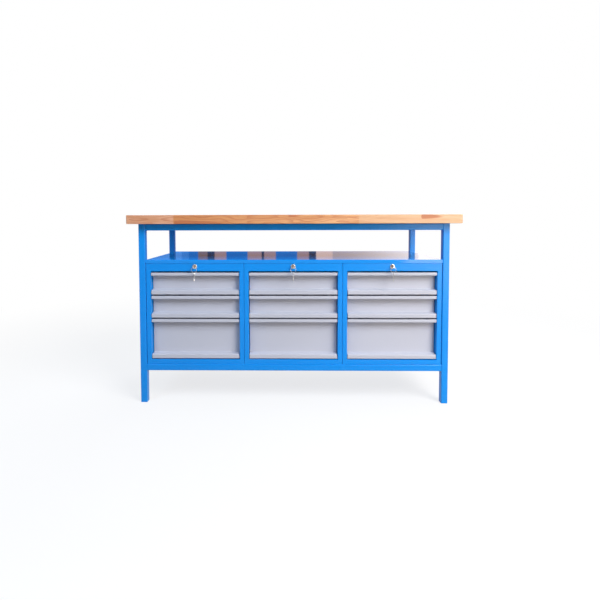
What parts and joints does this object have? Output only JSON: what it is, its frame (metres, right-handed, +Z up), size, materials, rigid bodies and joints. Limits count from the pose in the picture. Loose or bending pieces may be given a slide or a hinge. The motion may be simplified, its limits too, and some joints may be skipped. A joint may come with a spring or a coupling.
{
  "type": "jewelers bench",
  "caption": "Steel-tube workbench with a thick beech top, an open shelf and lockable drawer cabinets side by side; folded sheet drawer fronts have full-width grip lips.",
  "frame": {"origin": "on the floor, at the centre of the worktop outline", "axes": "+X to the right along the worktop, +Y from the drawer side to the back, +Z up"},
  "size_m": [1.5, 0.6, 0.87],
  "materials": {
    "beech": "oiled beech, finger-jointed staves",
    "blue_paint": "glossy sky blue powder coat",
    "grey_paint": "satin light grey powder coat",
    "bright_plate": "nickel plated",
    "zinc_steel": "zinc plated sheet"
  },
  "bodies": {
    "bench": {"worktop": "beech", "shelf_cover": "blue_paint", "leg_front_left": "blue_paint", "leg_front_right": "blue_paint", "leg_rear_left": "blue_paint", "leg_rear_right": "blue_paint", "rail_bottom_front": "blue_paint", "rail_bottom_rear": "blue_paint", "rail_bottom_left": "blue_paint", "rail_bottom_right": "blue_paint", "rail_top_front": "blue_paint", "rail_top_rear": "blue_paint", "rail_top_left": "blue_paint", "rail_top_right": "blue_paint", "carcass_left": "blue_paint", "runner_rack_left_l": "zinc_steel", "runner_rack_left_r": "zinc_steel", "lock_housing_left": "bright_plate", "carcass_middle": "blue_paint", "runner_rack_middle_l": "zinc_steel", "runner_rack_middle_r": "zinc_steel", "lock_housing_middle": "bright_plate", "carcass_right": "blue_paint", "runner_rack_right_l": "zinc_steel", "runner_rack_right_r": "zinc_steel", "lock_housing_right": "bright_plate"},
    "drawer_left_bottom": {"drawer_front_left_bottom": "grey_paint", "drawer_tray_left_bottom": "grey_paint"},
    "drawer_left_middle": {"drawer_front_left_middle": "grey_paint", "drawer_tray_left_middle": "grey_paint"},
    "drawer_left_top": {"drawer_front_left_top": "grey_paint", "drawer_tray_left_top": "grey_paint"},
    "lock_plug_left": {"lock_plug_left": "zinc_steel"},
    "lock_bar_left": {"lock_bar_left": "zinc_steel"},
    "key_left": {"key_left": "bright_plate"},
    "key_ring_left": {"key_ring_left": "bright_plate"},
    "spare_key_left": {"spare_key_left": "bright_plate"},
    "drawer_middle_bottom": {"drawer_front_middle_bottom": "grey_paint", "drawer_tray_middle_bottom": "grey_paint"},
    "drawer_middle_middle": {"drawer_front_middle_middle": "grey_paint", "drawer_tray_middle_middle": "grey_paint"},
    "drawer_middle_top": {"drawer_front_middle_top": "grey_paint", "drawer_tray_middle_top": "grey_paint"},
    "lock_plug_middle": {"lock_plug_middle": "zinc_steel"},
    "lock_bar_middle": {"lock_bar_middle": "zinc_steel"},
    "key_middle": {"key_middle": "bright_plate"},
    "key_ring_middle": {"key_ring_middle": "bright_plate"},
    "spare_key_middle": {"spare_key_middle": "bright_plate"},
    "drawer_right_bottom": {"drawer_front_right_bottom": "grey_paint", "drawer_tray_right_bottom": "grey_paint"},
    "drawer_right_middle": {"drawer_front_right_middle": "grey_paint", "drawer_tray_right_middle": "grey_paint"},
    "drawer_right_top": {"drawer_front_right_top": "grey_paint", "drawer_tray_right_top": "grey_paint"},
    "lock_plug_right": {"lock_plug_right": "zinc_steel"},
    "lock_bar_right": {"lock_bar_right": "zinc_steel"},
    "key_right": {"key_right": "bright_plate"},
    "key_ring_right": {"key_ring_right": "bright_plate"},
    "spare_key_right": {"spare_key_right": "bright_plate"}
  },
  "joints": [
    {"name": "drawer_left_bottom_slide", "type": "slide", "parent": "bench", "child": "drawer_left_bottom", "axis": [0, -1, 0], "range_m": [0, 0.38]},
    {"name": "drawer_left_middle_slide", "type": "slide", "parent": "bench", "child": "drawer_left_middle", "axis": [0, -1, 0], "range_m": [0, 0.38]},
    {"name": "drawer_left_top_slide", "type": "slide", "parent": "bench", "child": "drawer_left_top", "axis": [0, -1, 0], "range_m": [0, 0.38]},
    {"name": "lock_left_turn", "type": "hinge", "parent": "bench", "child": "lock_plug_left", "pos_m": [-0.4522, -0.2612, 0.634], "axis": [0, 1, 0], "range_deg": [0, 90]},
    {"name": "lock_bar_left_slide", "type": "slide", "parent": "bench", "child": "lock_bar_left", "axis": [0, 0, -1], "range_m": [0, 0.0091]},
    {"name": "key_left_pull", "type": "slide", "parent": "lock_plug_left", "child": "key_left", "axis": [0, -1, 0], "range_m": [0, 0.03]},
    {"name": "key_ring_left_swing", "type": "hinge", "parent": "key_left", "child": "key_ring_left", "pos_m": [-0.4522, -0.2776, 0.6317], "axis": [-1, 0, 0], "range_deg": [0, 80]},
    {"name": "spare_key_left_swing", "type": "hinge", "parent": "key_ring_left", "child": "spare_key_left", "pos_m": [-0.4522, -0.2776, 0.6077], "axis": [-1, 0, 0], "range_deg": [0, 60]},
    {"name": "drawer_middle_bottom_slide", "type": "slide", "parent": "bench", "child": "drawer_middle_bottom", "axis": [0, -1, 0], "range_m": [0, 0.38]},
    {"name": "drawer_middle_middle_slide", "type": "slide", "parent": "bench", "child": "drawer_middle_middle", "axis": [0, -1, 0], "range_m": [0, 0.38]},
    {"name": "drawer_middle_top_slide", "type": "slide", "parent": "bench", "child": "drawer_middle_top", "axis": [0, -1, 0], "range_m": [0, 0.38]},
    {"name": "lock_middle_turn", "type": "hinge", "parent": "bench", "child": "lock_plug_middle", "pos_m": [0, -0.2612, 0.634], "axis": [0, 1, 0], "range_deg": [0, 90]},
    {"name": "lock_bar_middle_slide", "type": "slide", "parent": "bench", "child": "lock_bar_middle", "axis": [0, 0, -1], "range_m": [0, 0.0091]},
    {"name": "key_middle_pull", "type": "slide", "parent": "lock_plug_middle", "child": "key_middle", "axis": [0, -1, 0], "range_m": [0, 0.03]},
    {"name": "key_ring_middle_swing", "type": "hinge", "parent": "key_middle", "child": "key_ring_middle", "pos_m": [0, -0.2776, 0.6317], "axis": [-1, 0, 0], "range_deg": [0, 80]},
    {"name": "spare_key_middle_swing", "type": "hinge", "parent": "key_ring_middle", "child": "spare_key_middle", "pos_m": [0, -0.2776, 0.6077], "axis": [-1, 0, 0], "range_deg": [0, 60]},
    {"name": "drawer_right_bottom_slide", "type": "slide", "parent": "bench", "child": "drawer_right_bottom", "axis": [0, -1, 0], "range_m": [0, 0.38]},
    {"name": "drawer_right_middle_slide", "type": "slide", "parent": "bench", "child": "drawer_right_middle", "axis": [0, -1, 0], "range_m": [0, 0.38]},
    {"name": "drawer_right_top_slide", "type": "slide", "parent": "bench", "child": "drawer_right_top", "axis": [0, -1, 0], "range_m": [0, 0.38]},
    {"name": "lock_right_turn", "type": "hinge", "parent": "bench", "child": "lock_plug_right", "pos_m": [0.4522, -0.2612, 0.634], "axis": [0, 1, 0], "range_deg": [0, 90]},
    {"name": "lock_bar_right_slide", "type": "slide", "parent": "bench", "child": "lock_bar_right", "axis": [0, 0, -1], "range_m": [0, 0.0091]},
    {"name": "key_right_pull", "type": "slide", "parent": "lock_plug_right", "child": "key_right", "axis": [0, -1, 0], "range_m": [0, 0.03]},
    {"name": "key_ring_right_swing", "type": "hinge", "parent": "key_right", "child": "key_ring_right", "pos_m": [0.4522, -0.2776, 0.6317], "axis": [-1, 0, 0], "range_deg": [0, 80]},
    {"name": "spare_key_right_swing", "type": "hinge", "parent": "key_ring_right", "child": "spare_key_right", "pos_m": [0.4522, -0.2776, 0.6077], "axis": [-1, 0, 0], "range_deg": [0, 60]}
  ],
  "couplings": [
    {"joint": "lock_bar_left_slide", "follows": "lock_left_turn", "m_per_rad": 0.0057296},
    {"joint": "lock_bar_middle_slide", "follows": "lock_middle_turn", "m_per_rad": 0.0057296},
    {"joint": "lock_bar_right_slide", "follows": "lock_right_turn", "m_per_rad": 0.0057296}
  ]
}
